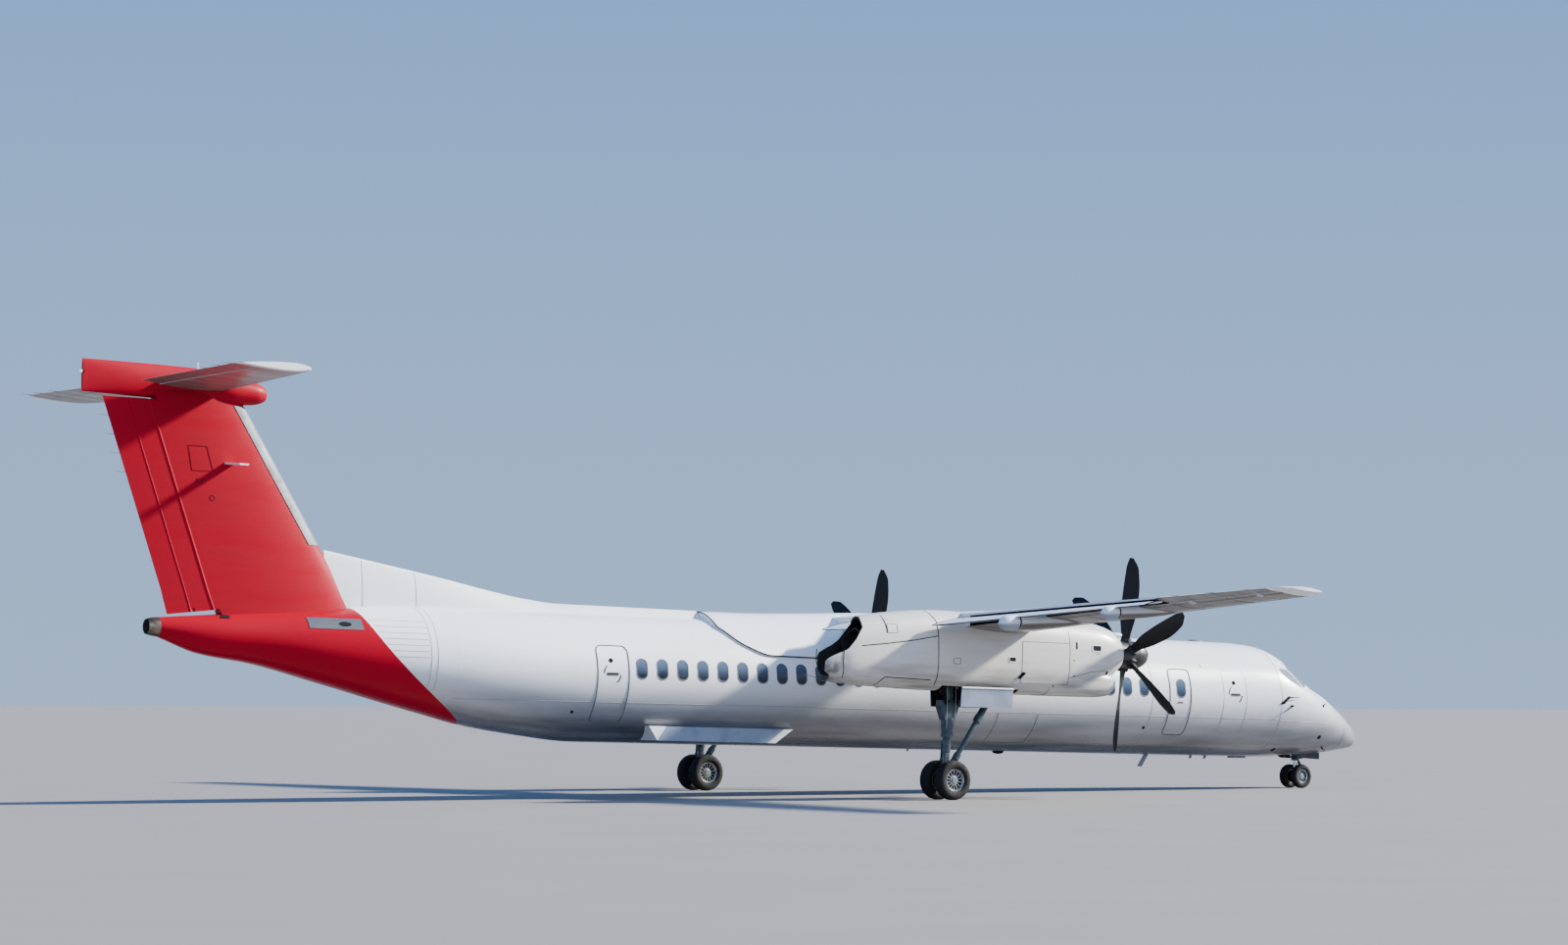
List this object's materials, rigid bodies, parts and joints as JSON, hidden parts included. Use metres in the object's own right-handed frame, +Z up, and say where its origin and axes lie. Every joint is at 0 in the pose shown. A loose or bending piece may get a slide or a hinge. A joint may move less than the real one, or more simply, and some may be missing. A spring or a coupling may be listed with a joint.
{
  "type": "turboprop airliner",
  "caption": "High-wing T-tail turboprop airliner on a tall tricycle landing gear, with slotted flaps, six-blade propellers and a fold-down airstair.",
  "frame": {"origin": "on the ground under the middle of the overall length and span", "axes": "+X towards the nose, +Y to the left wing, +Z up; the airframe stands 1.26 degrees nose-down on its wheels"},
  "size_m": [32.8404, 28.42, 8.3408],
  "materials": {
    "white_paint": "gloss",
    "red_paint": "gloss",
    "grey_paint": "satin",
    "gear_paint": "satin",
    "wheel_alloy": "satin",
    "engine_metal": "brushed",
    "blade_composite": "matt",
    "tyre": "matt",
    "screen_glass": "gloss"
  },
  "bodies": {
    "airframe": {"fuselage": "white_paint", "flight_deck": "white_paint", "radome": "white_paint", "windscreen": "screen_glass", "tail_cone": "red_paint", "tail_end_cap": "engine_metal", "wing_saddle": "white_paint", "strake_left": "grey_paint", "strake_right": "grey_paint", "wing_centre": "white_paint", "wing_left": "white_paint", "wing_right": "white_paint", "flap_inboard_left": "white_paint", "flap_inboard_right": "white_paint", "flap_outboard_left": "white_paint", "flap_outboard_right": "white_paint", "dorsal_fin": "white_paint", "fin": "red_paint", "fin_cap": "red_paint", "stabiliser": "grey_paint", "nacelle_left": "white_paint", "nacelle_right": "white_paint", "engine_left": "engine_metal", "engine_right": "engine_metal", "jet_pipe_left": "engine_metal", "jet_pipe_right": "engine_metal", "main_door_left_inner": "white_paint", "main_door_left_outer": "white_paint", "main_door_right_inner": "white_paint", "main_door_right_outer": "white_paint", "main_leg_left": "gear_paint", "main_leg_right": "gear_paint", "drag_brace_left": "gear_paint", "drag_brace_right": "gear_paint", "nose_door_left": "white_paint", "nose_door_right": "white_paint", "nose_leg": "gear_paint"},
    "propeller_unit_left": {"propeller_left": "blade_composite", "spinner_left": "blade_composite"},
    "propeller_unit_right": {"propeller_right": "blade_composite", "spinner_right": "blade_composite"},
    "main_wheel_set_left": {"main_wheels_left": "wheel_alloy", "main_tyre_left_inner": "tyre", "main_tyre_left_outer": "tyre"},
    "main_wheel_set_right": {"main_wheels_right": "wheel_alloy", "main_tyre_right_inner": "tyre", "main_tyre_right_outer": "tyre"},
    "nose_gear_steering": {"nose_steering": "gear_paint"},
    "nose_wheel_set": {"nose_wheels": "wheel_alloy", "nose_tyre_left": "tyre", "nose_tyre_right": "tyre"},
    "airstair": {"airstair_door": "white_paint"},
    "left_aileron": {"aileron_left": "white_paint"},
    "right_aileron": {"aileron_right": "white_paint"},
    "left_elevator": {"elevator_left": "grey_paint"},
    "right_elevator": {"elevator_right": "grey_paint"},
    "fore_rudder": {"rudder": "red_paint"},
    "aft_rudder": {"rudder_trailing": "red_paint"}
  },
  "joints": [
    {"name": "propeller_left_spin", "type": "hinge", "parent": "airframe", "child": "propeller_unit_left", "pos_m": [5.467, 4.4, 2.98546], "axis": [0.9998, 0, -0.022], "continuous": true},
    {"name": "propeller_right_spin", "type": "hinge", "parent": "airframe", "child": "propeller_unit_right", "pos_m": [5.467, -4.4, 2.98546], "axis": [0.9998, 0, -0.022], "continuous": true},
    {"name": "main_wheels_left_roll", "type": "hinge", "parent": "airframe", "child": "main_wheel_set_left", "pos_m": [0.652, 4.4, 0.4], "axis": [0, 1, 0], "continuous": true},
    {"name": "main_wheels_right_roll", "type": "hinge", "parent": "airframe", "child": "main_wheel_set_right", "pos_m": [0.652, -4.4, 0.4], "axis": [0, 1, 0], "continuous": true},
    {"name": "nose_steer", "type": "hinge", "parent": "airframe", "child": "nose_gear_steering", "pos_m": [14.592, 0, 0.7], "axis": [0, 0, 1], "range_deg": [-70, 70]},
    {"name": "nose_wheels_roll", "type": "hinge", "parent": "nose_gear_steering", "child": "nose_wheel_set", "pos_m": [14.592, 0, 0.275], "axis": [0, 1, 0], "continuous": true},
    {"name": "airstair_hinge", "type": "hinge", "parent": "airframe", "child": "airstair", "pos_m": [11.46864, 0.966, 1.176], "axis": [-0.9998, 0, 0.022], "range_deg": [0, 125]},
    {"name": "aileron_left_hinge", "type": "hinge", "parent": "airframe", "child": "left_aileron", "pos_m": [0.90569, 12.39, 4.00046], "axis": [0.0389, 0.9983, 0.0445], "range_deg": [-17, 17]},
    {"name": "aileron_right_hinge", "type": "hinge", "parent": "airframe", "child": "right_aileron", "pos_m": [0.90569, -12.39, 4.00046], "axis": [-0.0389, 0.9983, -0.0445], "range_deg": [-17, 17]},
    {"name": "elevator_left_hinge", "type": "hinge", "parent": "airframe", "child": "left_elevator", "pos_m": [-15.03935, 2.35, 7.97277], "axis": [-0.0396, 0.9992, 0.0009], "range_deg": [-18, 22]},
    {"name": "elevator_right_hinge", "type": "hinge", "parent": "airframe", "child": "right_elevator", "pos_m": [-15.03935, -2.35, 7.97277], "axis": [0.0396, 0.9992, -0.0009], "range_deg": [-18, 22]},
    {"name": "rudder_hinge", "type": "hinge", "parent": "airframe", "child": "fore_rudder", "pos_m": [-14.42536, 0, 5.76873], "axis": [-0.3302, 0, 0.9439], "range_deg": [-18, 18]},
    {"name": "rudder_trailing_hinge", "type": "hinge", "parent": "fore_rudder", "child": "aft_rudder", "pos_m": [-14.87419, 0, 5.7786], "axis": [-0.3281, 0, 0.9446], "range_deg": [-18, 18]}
  ],
  "couplings": [
    {"joint": "aileron_right_hinge", "follows": "aileron_left_hinge", "ratio": -1},
    {"joint": "elevator_right_hinge", "follows": "elevator_left_hinge", "ratio": 1},
    {"joint": "rudder_trailing_hinge", "follows": "rudder_hinge", "ratio": 1}
  ]
}
